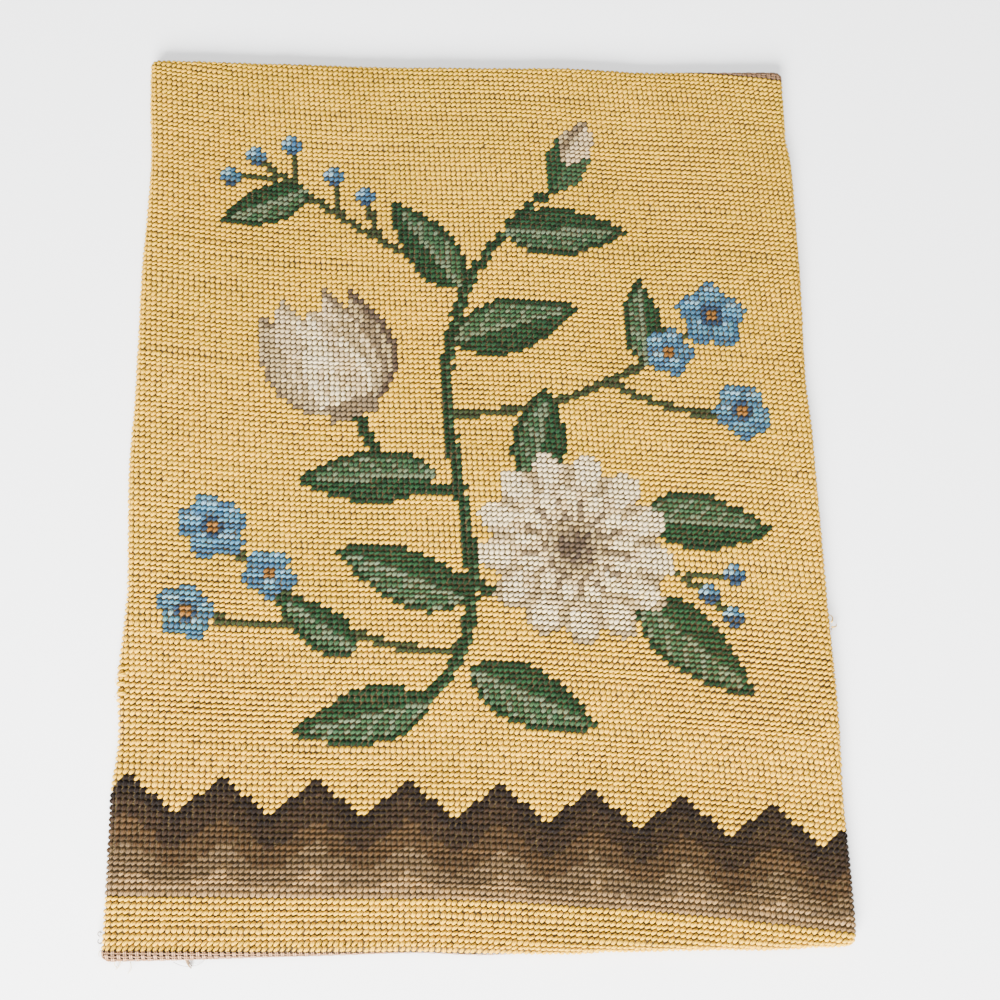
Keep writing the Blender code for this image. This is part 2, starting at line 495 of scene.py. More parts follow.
@functools.lru_cache(maxsize=None)
def flower_chart():
    """A winding spray of flowers over a band of flame stitch."""
    chart = Chart()
    chart.flame_band(bottom=-77, top=-60, point=3.0, repeat=16)

    main = [(-24, -50), (26, -26), (-34, 18), (18, 60)]
    chart.stem([(-5, -33), (-26, -36), (-47, -14)], 0.8, "moss")
    chart.stem([(-4, 12), (20, 12), (46, 34)], 0.8, "moss")
    chart.stem([(-1, 40), (-20, 48), (-40, 64)], 0.7, "moss")
    chart.stem([(-4, -20), (6, -26), (18, -12)], 1.1, "forest")
    chart.stem([(-4, -3), (-18, -4), (-22, 12)], 1.1, "forest")
    chart.stem([(26, 20), (38, 14), (50, 15)], 0.7, "moss")
    for berry in BERRIES:
        chart.stem([(berry.u, berry.v), (berry.twig_u, berry.twig_v)], 0.62, "moss")
    chart.stem([(-30, -28), (-42, -31), (-53, -28)], 0.7, "moss")
    chart.stem(main, 1.25, "forest")
    chart.stem([(x + 0.6, y) for x, y in main], 0.5, "fern")

    chart.leaf((-12, -43), (-36, -49), 10, 1)
    chart.leaf((-4, -37), (18, -46), 11, -1)
    chart.leaf((-4, -24), (-27, -15), 11, 1)
    chart.leaf((28, -22), (47, -38), 12, -1)
    chart.leaf((30, -6), (54, -7), 11, 1)
    chart.leaf((10, -2), (14, 18), 10, 1)
    chart.leaf((-8, 0), (-34, -2), 10, -1)
    chart.leaf((-3, 27), (21, 35), 11, 1)
    chart.leaf((-1, 38), (-14, 56), 10, -1)
    chart.leaf((8, 50), (32, 52), 10, -1)
    chart.leaf((-30, 58), (-47, 49), 8, 1)
    chart.leaf((34, 24), (33, 42), 8, 1)
    chart.leaf((-24, -34), (-38, -24), 8, 1)

    chart.daisy((17, -13), 18.5, 13)
    chart.tulip((-22, 11), 27, radians(112))
    chart.bud((18, 60), 17, radians(62))
    chart.blossom((47, 35), 6.4, 0.3)
    chart.blossom((51, 16), 5.4, 0.9)
    chart.blossom((38, 27), 4.6, 0.0)
    chart.blossom((-49, -12), 6.2, 0.5)
    chart.blossom((-54, -28), 5.0, 0.1)
    chart.blossom((-39, -20), 4.6, 1.0)
    for berry in BERRIES:
        chart.berry((berry.u, berry.v), berry.size)
    return chart


# Meshes and objects


def mesh_from(bm, name):
    """The smooth mesh of a finished bmesh."""
    mesh = bpy.data.meshes.new(name)
    bm.to_mesh(mesh)
    bm.free()
    mesh.shade_smooth()
    return mesh


def paint_points(mesh, name, colours):
    """Give each point of a mesh its own colour."""
    layer = mesh.attributes.new(name, "FLOAT_COLOR", "POINT")
    layer.data.foreach_set("color", np.column_stack([colours, np.ones(len(colours))]).ravel())


def put(name, data):
    """A new object in the scene."""
    item = bpy.data.objects.new(name, data)
    bpy.context.scene.collection.objects.link(item)
    return item


# The stitches, each a plump bead of wool. The random tables span this many stitches, with this many of
# them left of the middle and below it.
ROW_TABLE, ROW_TABLE_LEFT = 160, 75
PATCH_TABLE, PATCH_TABLE_LEFT = 240, 100
TABLE_ROWS, TABLE_BELOW = 220, 110


def row_noise(column, row, run, seed):
    """A smooth random value along each row, which changes over a run of stitches."""
    knots = np.random.default_rng(seed).normal(size=(TABLE_ROWS, int(ROW_TABLE / run) + 3))
    place = (column + ROW_TABLE_LEFT) / run
    low = np.floor(place).astype(int)
    share = ease(place - low)
    line = np.floor(row).astype(int) + TABLE_BELOW
    return knots[line, low] * (1 - share) + knots[line, low + 1] * share


def patch_noise(column, row, size, seed):
    """A smooth random value over the whole cloth, in patches of this many stitches."""
    side = int(PATCH_TABLE / size) + 3
    knots = np.random.default_rng(seed).normal(size=(side, side))
    x, y = (column + PATCH_TABLE_LEFT) / size, (row + TABLE_BELOW) / size
    i, j = np.floor(x).astype(int), np.floor(y).astype(int)
    a, b = ease(x - i), ease(y - j)
    low = knots[j, i] * (1 - a) + knots[j, i + 1] * a
    high = knots[j + 1, i] * (1 - a) + knots[j + 1, i + 1] * a
    return low * (1 - b) + high * b


Template = namedtuple("Template", "points starts corners along around")


@functools.lru_cache(maxsize=None)
def bead_template(sides, rings, bluntness, gather=1.0):
    """A closed bead along X, from -1 to 1, with the unwrapping of each face's corners.

    A gather below 1 moves its sides up towards the top, where they show.
    """
    bm = bmesh.new()
    bmesh.ops.create_uvsphere(bm, u_segments=sides, v_segments=rings, radius=1)
    bmesh.ops.rotate(bm, verts=bm.verts, cent=(0, 0, 0), matrix=Matrix.Rotation(pi / 2, 3, "Y"))
    bm.verts.ensure_lookup_table()
    top = max(bm.verts, key=lambda vert: np.hypot(vert.co.y, vert.co.z)).co
    upright = Matrix.Rotation(pi / 2 - np.arctan2(top.z, top.y), 3, "X")
    bmesh.ops.rotate(bm, verts=bm.verts, cent=(0, 0, 0), matrix=upright)
    for vert in bm.verts:
        girth = np.hypot(vert.co.y, vert.co.z)
        if girth > 0.01:
            from_top = np.arctan2(vert.co.y, vert.co.z) * gather
            vert.co.yz = Vector((sin(from_top), cos(from_top))) * girth ** bluntness
    bm.verts.index_update()
    starts, corners, along, around = [], [], [], []
    for face in bm.faces:
        starts.append(len(corners))
        middle = face.calc_center_median()
        facing = np.arctan2(middle.z, middle.y)
        for vert in face.verts:
            turn = np.arctan2(vert.co.z, vert.co.y) if abs(vert.co.x) < 0.99 else facing
            corners.append(vert.index)
            along.append((vert.co.x + 1) / 2)
            around.append(0.5 + (facing + np.angle(np.exp(1j * (turn - facing)))) / (2 * pi))
    points = np.array([vert.co for vert in bm.verts])
    bm.free()
    around = np.array(around)
    around = (around - around.min()) / (around.max() - around.min())
    return Template(points, np.array(starts), np.array(corners), np.array(along), around)


Beads = namedtuple("Beads", "s t height lean length width thick dive colour")


def lay_out(s, *others, colour):
    """Beads at these places. Each other value is one for every bead, or one that they all share."""
    others = [np.broadcast_to(value, s.shape) for value in others]
    return Beads(s, *others, np.broadcast_to(colour, (len(s), 3)))


def bead_points(beads, template):
    """Each bead laid on the cloth, turned to its lean, with its ends dipping by its dive."""
    x, y, z = template.points.T
    x = x[None, :] * beads.length[:, None] / 2
    y = y[None, :] * beads.width[:, None] / 2
    share = template.points[:, 0][None, :]
    z = z[None, :] * beads.thick[:, None] / 2 - beads.dive[:, None] * np.abs(share) ** 3
    turn_x, turn_y = np.cos(beads.lean)[:, None], np.sin(beads.lean)[:, None]
    s = beads.s[:, None] + x * turn_x - y * turn_y
    t = beads.t[:, None] + x * turn_y + y * turn_x
    return lie(s, t, beads.height[:, None] + z)


# Painted shade on a bead: how much darker it is painted at its ends and below a share of its height, where
# it sinks between its neighbours, and how grey that painted shade is
END_PAINTED_SHADE = 0.34
SIDE_PAINTED_SHADE = 0.34
SIDE_TOP = 0.3
PAINTED_SHADE_GREY = 0.28

# The maps of a bead: its girth for its width, where each starts on the strands, and a cell's margin
GIRTH = 2.8
Start = namedtuple("Start", "size step wrap")
STARTS = (Start(7.3, 0.618, 11), Start(5.1, 0.414, 9))
CELL_MARGIN = 0.06


def bead_maps(beads, template, bead, across):
    """Each bead's place on the strands, in millimetres, and its own cell in a square of cells."""
    along = template.along * beads.length[:, None] / MM
    around = template.around * beads.width[:, None] * GIRTH / MM
    strand = [
        way + start.size * np.mod(bead * start.step, start.wrap)
        for way, start in zip((along, around), STARTS)
    ]
    share = 1 - 2 * CELL_MARGIN
    cell = [
        (place + CELL_MARGIN + share * way) / across
        for place, way in ((bead % across, template.along), (bead // across, template.around))
    ]
    return (np.stack(pair, axis=-1).reshape(-1, 2) for pair in (strand, cell))


def bead_piece(name, groups):
    """One mesh of many beads. Each group is a lot of beads and the template that they are made from."""
    total = sum(len(beads.s) for beads, _ in groups)
    across = int(np.ceil(np.sqrt(total)))
    lots = []
    first_point = first_corner = first_bead = 0
    for beads, template in groups:
        count = len(beads.s)
        number = np.arange(count)[:, None]
        x, _, z = template.points.T
        # Painted shade: each bead is painted darker and greyer at its ends and low sides, where it sinks
        # between its neighbours
        shade = 1 - END_PAINTED_SHADE * np.abs(x) ** 3 - SIDE_PAINTED_SHADE * np.clip(SIDE_TOP - z, 0, 1)
        shade = shade[None, :, None]
        grey = PAINTED_SHADE_GREY * beads.colour.mean(axis=1)[:, None, None]
        lots.append((
            bead_points(beads, template).reshape(-1, 3),
            (template.starts + first_corner + len(template.corners) * number).ravel(),
            (template.corners + first_point + len(template.points) * number).ravel(),
            (beads.colour[:, None, :] * shade + grey * (1 - shade)).reshape(-1, 3),
            *bead_maps(beads, template, first_bead + number, across),
        ))
        first_point += count * len(template.points)
        first_corner += count * len(template.corners)
        first_bead += count
    points, starts, corners, colours, strands, cells = (np.concatenate(lot) for lot in zip(*lots))
    mesh = bpy.data.meshes.new(name)
    mesh.vertices.add(len(points))
    mesh.vertices.foreach_set("co", points.astype(np.float32).ravel())
    mesh.loops.add(len(corners))
    mesh.loops.foreach_set("vertex_index", corners.astype(np.int32))
    mesh.polygons.add(len(starts))
    mesh.polygons.foreach_set("loop_start", starts.astype(np.int32))
    mesh.update(calc_edges=True)
    mesh.validate()
    mesh.shade_smooth()
    for layer, values in (("strand", strands), ("OFBake", cells)):
        mesh.uv_layers.new(name=layer).data.foreach_set("uv", values.ravel())
    paint_points(mesh, "wool_colour", colours)
    return mesh


def add_piece(mesh, material=None):
    """Put a finished mesh in the scene as a piece that lies on the canvas."""
    if material:
        mesh.materials.append(material)
    piece = put(mesh.name, mesh)
    piece["on_canvas"] = True
    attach(piece, "root")
    return piece


# How the stitches vary. Turns are in degrees, and the rest are shares of the usual value, or lengths.
ROW_SWELL, SWELL_ROWS = 0.11, 6
TURN_BY_STYLE, MIDDLE_TURN, TURN_SPREAD = 12.0, -5, 5.0
LEAST_TURN, MOST_TURN = -25, 16
WIDTH_BY_TURN, LENGTH_BY_TURN, PAINTED_LIGHT_BY_TURN = 0.0075, 0.003, 0.0022
WIDTH_SPREAD, LENGTH_SPREAD, THICKNESS_SPREAD, TONE_SPREAD = 0.06, 0.05, 0.06, 0.035
ACROSS_SPREAD, UP_SPREAD, HEIGHT_SPREAD = 0.09 * MM, 0.08 * MM, 0.07 * MM

# What changes where the wool is rubbed, and in the last rows at the left of the foot, which stand up
RUBBED_WIDTH, RUBBED_LENGTH, RUBBED_TONE = 0.26, 0.16, 0.1
STANDING_TURN, STANDING_LENGTH, STANDING_WIDTH = 22, 0.16, 0.06
STANDING_ROWS, STANDING_END, STANDING_EASE = 2, 25, 30

# The tone, darkened towards the top as painted shade and changing along brown rows, and the red and blue of
# warm wool
FOOT_TONE, PAINTED_SHADE_FALL, FALL_START, FALL_ROWS = 1.03, 0.24, -50, 130
BROWN_TONE, BROWN_LEAST, BROWN_MOST = 0.17, -1.6, 2.2
WARM_SPREAD, WARM_TINT = 0.06, (0.3, 0.0, -1.0)

# The stitches on the hems stop this far short of its rim, and those past this share of a fold are plain
HEM_STOP = 4 * MM
PLAIN_SHARE = 0.6


def row_style(column, row):
    """How the stitches lie here, from -2 where they are pulled flat to 2 where they stand round."""
    by_row = row_noise(column, row, run=24, seed=1)
    return 0.95 * by_row + 0.40 * patch_noise(column, row, size=16, seed=2)


def row_shifts(columns, rows):
    """How far up each stitch moves, because flat rows lie closer together than round ones."""
    swell = ROW_SWELL * STITCH_HEIGHT * row_style(columns, rows)
    middle = np.cumsum(swell, axis=0) - swell / 2
    weights = np.hanning(2 * SWELL_ROWS + 3)[1:-1]
    padded = np.pad(middle, ((SWELL_ROWS, SWELL_ROWS), (0, 0)), mode="edge")
    trend = sum(w * padded[k:k + len(middle)] for k, w in enumerate(weights)) / weights.sum()
    return middle - trend


Pulled = namedtuple("Pulled", "past along length width lean")
PULLED_STITCHES = [
    Pulled(2.0, -90.6, 5.6, 1.7, 4), Pulled(1.6, -93.6, 6.6, 2.2, -5), Pulled(1.9, -97.7, 6.2, 2.4, 3),
    Pulled(1.7, -101.9, 6.8, 2.1, -6), Pulled(2.3, -104.9, 5.2, 1.6, 8),
]
PULLED_DEPTH = 0.25 * MM


def pulled_stitches():
    """The long slack stitches that lie straight over the left edge."""
    settings = bpy.context.scene.needlepoint_stitches
    past, along, length, width, lean = np.array(PULLED_STITCHES).T
    t = along * MM
    return lay_out(
        -(HALF_WIDTH + bend("left", t) + past * MM), t, -PULLED_DEPTH, np.radians(lean), length * MM,
        width * MM, settings.thickness, settings.dive, colour=bpy.context.scene.needlepoint_wools.gold,
    )


def family_of(wool):
    """The family of each of these wools."""
    return np.array([w.family for w in WOOLS])[wool]


def wool_shades():
    """The colour of every wool, in the order of their table."""
    colours = bpy.context.scene.needlepoint_wools
    return np.array([getattr(colours, wool.name) for wool in WOOLS])


@functools.lru_cache(maxsize=None)
def all_stitches():
    """Every stitch to be made: its bead, its wool, its row and whether it is out of sight."""
    settings = bpy.context.scene.needlepoint_stitches
    chart = flower_chart()
    column, row, wool = chart.u.ravel(), chart.v.ravel(), chart.wool.ravel()
    shift = row_shifts(chart.u, chart.v).ravel()
    s, t = on_cloth(column, row)
    past, aim_x, aim_y, at_corner, inside = past_edge(s, t)
    under = past - ARC
    beside = np.where(np.abs(aim_x) > 0.5, inside[1], inside[0])
    on_hem = ~at_corner & (under < HEM_REACH - HEM_STOP) & (beside > under + STITCH_WIDTH)
    keep = (under < 0) | on_hem
    thin, lift = rubbed(s, t, past), bare_bulge(row, past, aim_y)
    column, row, wool, shift, s, t, under, thin, lift = (
        a[keep] for a in (column, row, wool, shift, s, t, under, thin, lift)
    )

    rng = np.random.default_rng(5)
    count = len(s)
    low, high = on_cloth(column - 0.5, row - 0.5), on_cloth(column + 0.5, row + 0.5)
    diagonal = np.arctan2(high[1] - low[1], high[0] - low[0])
    style = row_style(column, row)
    turn = TURN_BY_STYLE * style + MIDDLE_TURN + rng.normal(0, TURN_SPREAD, count)
    turn = np.clip(turn, LEAST_TURN, MOST_TURN)
    width = settings.width * (1 + WIDTH_BY_TURN * turn) * rng.normal(1, WIDTH_SPREAD, count)
    length = settings.length * (1 - LENGTH_BY_TURN * np.abs(turn)) * rng.normal(1, LENGTH_SPREAD, count)
    thick = settings.thickness * rng.normal(1, THICKNESS_SPREAD, count)
    width, length = width * (1 - RUBBED_WIDTH * thin), length * (1 - RUBBED_LENGTH * thin)
    height = lift - STITCH_DEPTH + rng.normal(0, HEIGHT_SPREAD, count)
    standing = ease((STANDING_END - column) / STANDING_EASE)
    rows_in = row - FIRST_ROW - 0.5
    standing = standing * np.clip(STANDING_ROWS - rows_in, 0, STANDING_ROWS) / STANDING_ROWS
    turn = turn + STANDING_TURN * standing
    length, width = length * (1 + STANDING_LENGTH * standing), width * (1 - STANDING_WIDTH * standing)

    # Painted light: stitches that lie flatter, with a smaller turn, are painted lighter; the row and patch
    # noise is the wool's own uneven tone
    tone = 1 - PAINTED_LIGHT_BY_TURN * turn + 0.05 * row_noise(column, row, run=30, seed=3)
    tone = tone + 0.04 * patch_noise(column, row, size=9, seed=4)
    brown = BROWN_TONE * np.clip(row_noise(column, row, run=9, seed=7), BROWN_LEAST, BROWN_MOST)
    tone = tone + np.where(family_of(wool) == "brown", brown, 0)
    # Painted shade: the tone is painted darker towards the top, where the light falls off
    painted_falloff = FOOT_TONE - PAINTED_SHADE_FALL * ease((row - FALL_START) / FALL_ROWS)
    tone = tone * rng.normal(1, TONE_SPREAD, count) * painted_falloff * (1 + RUBBED_TONE * thin)
    warm = 0.05 * patch_noise(column, row, size=24, seed=6) + rng.normal(0, WARM_SPREAD, count)
    colour = wool_shades()[wool] * tone[:, None] * (1 + np.outer(warm, WARM_TINT))
    beads = lay_out(
        s + rng.normal(0, ACROSS_SPREAD, count), t + shift + rng.normal(0, UP_SPREAD, count), height,
        diagonal + np.radians(turn), length, width, thick, settings.dive,
        colour=np.clip(colour, 0.001, 0.95),
    )
    return beads, wool, row, under > (PLAIN_SHARE - 1) * ARC


def pick(beads, where):
    """Some of the beads."""
    return Beads(*(values[where] for values in beads))


def stitch_piece(name, where, slack=False):
    """The stitches picked out by where, as one piece of wool, with the slack ones if they are asked for."""
    beads, _, _, hidden = all_stitches()
    plump, plain = where & ~hidden, where & hidden
    groups = [(pick(beads, plump), bead_template(sides=5, rings=5, bluntness=0.55, gather=0.78))]
    if slack:
        groups.append((pulled_stitches(), bead_template(sides=8, rings=8, bluntness=0.5)))
    if plain.any():
        groups.append((pick(beads, plain), bead_template(sides=4, rings=3, bluntness=0.62)))
    return add_piece(bead_piece(name, groups), wool_material())


# The bare canvas that shows where the worked rows stop short of an edge: how much of it is out of the
# wool, how far it is followed over a fold, and the columns and rows that are tried past the wool
BARE_SHARE = 0.45
BARE_REACH = 0.85 * ARC
SPARE_COLUMNS = 7
SPARE_ROWS = 7

# The threads: how dark and how wide they are at each strip, the top strip painted darker as painted shade,
# and the shape of their beads
Strip = namedtuple("Strip", "tone width")
TOP_STRIP, BOTTOM_STRIP = Strip(0.42, 0.62), Strip(0.85, 0.8)
UPRIGHT_WIDTH = 1.35
LEVEL_LENGTH = 1.5 * STITCH_WIDTH
OVER_DEPTH, UNDER_DEPTH = 0.36 * MM, 0.62 * MM
THREAD_SHARE = 0.6
THREAD_DIVE = 0.16 * MM
THREAD_SPREAD = 0.06


def bare_threads():
    """The paired upright threads and the even level ones, as the beads that show over the crossings."""
    settings = bpy.context.scene.needlepoint_canvas
    columns = np.arange(FIRST_COLUMN - SPARE_COLUMNS, LAST_COLUMN + 1 + SPARE_COLUMNS)
    half_rows = np.arange(2 * (FIRST_ROW - SPARE_ROWS), 2 * (LAST_ROW + 1 + SPARE_ROWS))
    column, half_row = (a.ravel() for a in np.meshgrid(columns, half_rows))
    rng = np.random.default_rng(8)
    lots = []
    for level, across in ((True, 0.5), (False, 0.35), (False, 0.65)):
        u, v = column + across, half_row / 2 + 0.25
        s, t = on_cloth(u, v)
        past, _, aim_y, _, _ = past_edge(s, t)
        keep = (worked_share(u, v) < BARE_SHARE) & (past > -STITCH_WIDTH) & (past < BARE_REACH)
        over = (np.mod(column + half_row, 2) == (0 if level else 1))[keep]
        s, t, lift = s[keep], t[keep], bare_bulge(v, past, aim_y)[keep]
        width = np.where(t > 0, TOP_STRIP.width, BOTTOM_STRIP.width) * (1.0 if level else UPRIGHT_WIDTH)
        # Painted shade: the threads of the top strip are painted darker than those of the bottom strip
        tone = np.where(t > 0, TOP_STRIP.tone, BOTTOM_STRIP.tone) + rng.normal(0, THREAD_SPREAD, len(s))
        lots.append(lay_out(
            s, t, lift - np.where(over, OVER_DEPTH, UNDER_DEPTH), 0.0 if level else pi / 2,
            LEVEL_LENGTH if level else STITCH_HEIGHT, settings.thread * width,
            THREAD_SHARE * settings.thread, THREAD_DIVE, colour=np.outer(tone, settings.colour),
        ))
    beads = Beads(*(np.concatenate(values) for values in zip(*lots)))
    mesh = bead_piece("bare_threads", [(beads, bead_template(sides=4, rings=3, bluntness=0.3))])
    return add_piece(mesh, thread_material())


# The canvas sheet under the wool


def edge_shift(x, y):
    """The sideways move that the uneven edges give a point of the straight-sided face."""
    pull_x = ease(1 - (HALF_WIDTH - np.abs(x)) / BEND_REACH)
    pull_y = ease(1 - (HALF_LENGTH - np.abs(y)) / BEND_REACH)
    out_x, out_y = edge_outs(x, y)
    return pull_x * np.where(x > 0, out_x, -out_x), pull_y * np.where(y > 0, out_y, -out_y)


def outward(x, y):
    """The level direction square to the rim of the straight-sided face at a point on it."""
    side = 1 if x > 0 else -1
    end = 1 if y > 0 else -1
    radius = CORNERS[side, end]
    past_x = max(0.0, abs(x) - (HALF_WIDTH - radius))
    past_y = max(0.0, abs(y) - (HALF_LENGTH - radius))
    return Vector((side * past_x, end * past_y, 0)).normalized()


def grid_face(bm):
    """A grid with rounded corners. Gives the flat place of each rim point."""
    bmesh.ops.create_grid(bm, x_segments=FACE_COLUMNS, y_segments=FACE_ROWS, size=1)
    bmesh.ops.scale(bm, vec=(HALF_WIDTH, HALF_LENGTH, 1), verts=bm.verts)
    for (side_x, side_y), radius in CORNERS.items():
        point = Vector((side_x * HALF_WIDTH, side_y * HALF_LENGTH, 0))
        nearest = min(bm.verts, key=lambda v: (v.co - point).length)
        bmesh.ops.bevel(
            bm, geom=[nearest], affect="VERTICES", offset=radius,
            segments=CORNER_STEPS, profile=0.5, material=-1,
        )
    return {v: v.co.copy() for v in bm.verts if v.is_boundary}


def carry_rim(bm, homes, steps):
    """Extrude the open rim once for each of steps, and give each new point its home and its step."""
    taken = {}
    for step in steps:
        rim = [e for e in bm.edges if e.is_boundary]
        made = bmesh.ops.extrude_edge_only(bm, edges=rim)["geom"]
        fresh = {g for g in made if isinstance(g, bmesh.types.BMVert)}
        for vert in fresh:
            others = (e.other_vert(vert) for e in vert.link_edges)
            homes[vert] = homes[next(v for v in others if v not in fresh)]
            taken[vert] = step
    return taken


def canvas_sheet():
    """The canvas from the face over the folds to the hems, as one closed sheet."""
    bm = bmesh.new()
    homes = grid_face(bm)
    face = {v: v.co.copy() for v in bm.verts}
    fold = carry_rim(bm, homes, [FOLD_RADIUS * pi * (k + 1) / FOLD_STEPS for k in range(FOLD_STEPS)])
    hem = carry_rim(bm, homes, [HEM_REACH * (k + 1) / HEM_STEPS for k in range(HEM_STEPS)])

    verts = list(bm.verts)
    home = np.array([face[v] if v in face else homes[v] for v in verts])
    out = np.array([(0, 0, 0) if v in face else outward(homes[v].x, homes[v].y) for v in verts])
    arc = np.array([fold.get(v, ARC if v in hem else 0.0) for v in verts])
    under = np.array([hem.get(v, 0.0) for v in verts])
    shift_x, shift_y = edge_shift(home[:, 0], home[:, 1])
    in_x = home[:, 0] * (1 - under / HALF_WIDTH)
    in_y = home[:, 1] * (1 - under / HALF_LENGTH)
    flat_s, flat_t = (
        shift + np.where(np.abs(aim) > FACING, face_at + aim * (arc + under), hem_at + aim * arc)
        for shift, aim, face_at, hem_at in (
            (shift_x, out[:, 0], home[:, 0], in_x), (shift_y, out[:, 1], home[:, 1], in_y),
        )
    )
    column, row = on_grid(flat_s, flat_t)
    worked = worked_share(column, row)
    turned_in = under > 0
    height = -(CANVAS_DEPTH * worked + np.where(turned_in, 0, BARE_DEPTH) * (1 - worked))
    height = height + bare_bulge(row, arc, out[:, 1])
    place = lie(home[:, 0] + shift_x + out[:, 0] * arc, home[:, 1] + shift_y + out[:, 1] * arc, height)
    place[turned_in] = np.column_stack([in_x + shift_x, in_y + shift_y, -height])[turned_in]
    for vert, co in zip(verts, place):
        vert.co = co
    bm.verts.index_update()

    weave = bm.loops.layers.uv.new("weave")
    for polygon in bm.faces:
        for loop in polygon.loops:
            loop[weave].uv = (column[loop.vert.index], row[loop.vert.index])
    bmesh.ops.recalc_face_normals(bm, faces=bm.faces)
    if max(bm.faces, key=lambda f: f.calc_center_median().z).normal.z < 0:
        bmesh.ops.reverse_faces(bm, faces=bm.faces)
    mesh = mesh_from(bm, "canvas_sheet")

    for name, values in (("worked", worked), ("woven", (arc > WOVEN_FROM * ARC).astype(float))):
        mesh.attributes.new(name, "FLOAT", "POINT").data.foreach_set("value", values)
    i = np.clip(np.floor(column).astype(int) - FIRST_COLUMN, 0, LAST_COLUMN - FIRST_COLUMN)
    j = np.clip(np.floor(row).astype(int) - FIRST_ROW, 0, LAST_ROW - FIRST_ROW)
    paint_points(mesh, "reverse_wool", wool_shades()[flower_chart().wool[j, i]])
    mesh.materials.append(canvas_material())
    mesh.materials.append(reverse_material())

    sheet = put("canvas_sheet", mesh)
    cloth = sheet.modifiers.new("cloth", "SOLIDIFY")
    cloth.thickness = CANVAS_THICK
    cloth.offset = -1
    cloth.use_even_offset = True
    cloth.material_offset = 1
    return sheet


# Materials


class Value:
    """A shader socket that can stand in a sum, with a number or another socket on either side."""

    def __init__(self, tree, socket):
        self.tree = tree
        self.socket = socket

    def maths(self, operation, *others):
        node = self.tree.nodes.new("ShaderNodeMath")
        node.operation = operation
        for slot, item in zip(node.inputs, (self, *others)):
            plug(self.tree, slot, item)
        return Value(self.tree, node.outputs[0])

    def __rsub__(self, other):
        return (self * -1.0).maths("ADD", other)


# The method of a value that adds each kind of maths node
for method, operation in {
    "__add__": "ADD", "__radd__": "ADD", "__sub__": "SUBTRACT", "__mul__": "MULTIPLY",
    "__rmul__": "MULTIPLY", "__truediv__": "DIVIDE", "__mod__": "FLOORED_MODULO", "__abs__": "ABSOLUTE",
    "floor": "FLOOR", "above": "GREATER_THAN", "most": "MAXIMUM", "power": "POWER", "sine": "SINE",
}.items():
    setattr(Value, method, functools.partialmethod(Value.maths, operation))


def plug(tree, socket, item):
    """Set a socket to a number or a colour, or link it to a value."""
    if isinstance(item, Value):
        tree.links.new(item.socket, socket)
    elif hasattr(item, "__len__") and socket.type == "RGBA" and len(item) == 3:
        socket.default_value = (*item, 1.0)
    else:
        socket.default_value = item


class Finish:
    """A material under construction, with a Principled shader."""

    def __init__(self, name):
        self.material = bpy.data.materials.new(name)
        self.material.use_nodes = True
        self.tree = self.material.node_tree
        self.shader = self.tree.nodes["Principled BSDF"]

    def node(self, kind, settings=None, inputs=None, output=0):
        """Add a node: its type, its settings, then the values or links of its sockets."""
        node = self.tree.nodes.new(kind)
        for key, setting in (settings or {}).items():
            setattr(node, key, setting)
        for key, item in (inputs or {}).items():
            plug(self.tree, node.inputs[key], item)
        return Value(self.tree, node.outputs[output])

    def uv(self, name):
        """The two ways of a UV map."""
        place = self.node("ShaderNodeUVMap", {"uv_map": name})
        across = self.node("ShaderNodeSeparateXYZ", None, {0: place})
        return across, Value(self.tree, across.socket.node.outputs[1])

    def spot(self):
        """The place on the object, in millimetres."""
        place = self.node("ShaderNodeTexCoord", None, None, "Object")
        return self.node("ShaderNodeVectorMath", {"operation": "SCALE"}, {0: place, "Scale": 1 / MM})

    def noise(self, vector, scale, detail=3.0, roughness=0.5):
        inputs = {"Vector": vector, "Scale": scale, "Detail": detail, "Roughness": roughness}
        return self.node("ShaderNodeTexNoise", None, inputs)

    def join(self, x, y, z=0.0):
        return self.node("ShaderNodeCombineXYZ", None, {0: x, 1: y, 2: z})

    def mix(self, share, low, high):
        """Colours mixed by a share from 0 to 1."""
        return self.node("ShaderNodeMix", {"data_type": "RGBA"}, {0: share, 6: low, 7: high}, 2)

    def tint(self, colour, amount):
        """A colour made lighter or darker by a varying amount."""
        grey = self.join(amount, amount, amount)
        return self.node("ShaderNodeVectorMath", {"operation": "MULTIPLY"}, {0: colour, 1: grey})

    def attribute(self, name, output="Color"):
        return self.node("ShaderNodeAttribute", {"attribute_name": name}, None, output)

    def bump(self, height, distance, strength=1.0, under=None):
        """Relief from a height of 0 to 1, this deep in metres."""
        inputs = {"Height": height, "Distance": distance, "Strength": strength}
        if under:
            inputs["Normal"] = under
        return self.node("ShaderNodeBump", None, inputs)

    def surface(self, **sockets):
        """Set or link the shader's own sockets, and give the finished material."""
        for name, item in {"Specular_IOR_Level": 0.3, **sockets}.items():
            plug(self.tree, self.shader.inputs[name.replace("_", " ")], item)
        return self.material


def hump(place, middle, half, power=2.0):
    """1 at the middle, falling to 0 this far each way and below that further out."""
    return 1.0 - ((place - middle) / half).power(power)


def weave_profile(finish):
    """The height from 0 to 1 of paired upright threads and even level ones, on the weave's own map."""
    column, row = finish.uv("weave")
    level = row * 2.0
    left, right = (hump(column % 1.0, middle, half=0.13) for middle in (0.36, 0.64))
    swap = (column.floor() + level.floor()) % 2.0
    upright = left.most(right) * (0.62 + 0.38 * swap)
    across = hump(level % 1.0, middle=0.5, half=0.24) * (1.0 - 0.38 * swap)
    return upright.most(across).most(0.0)


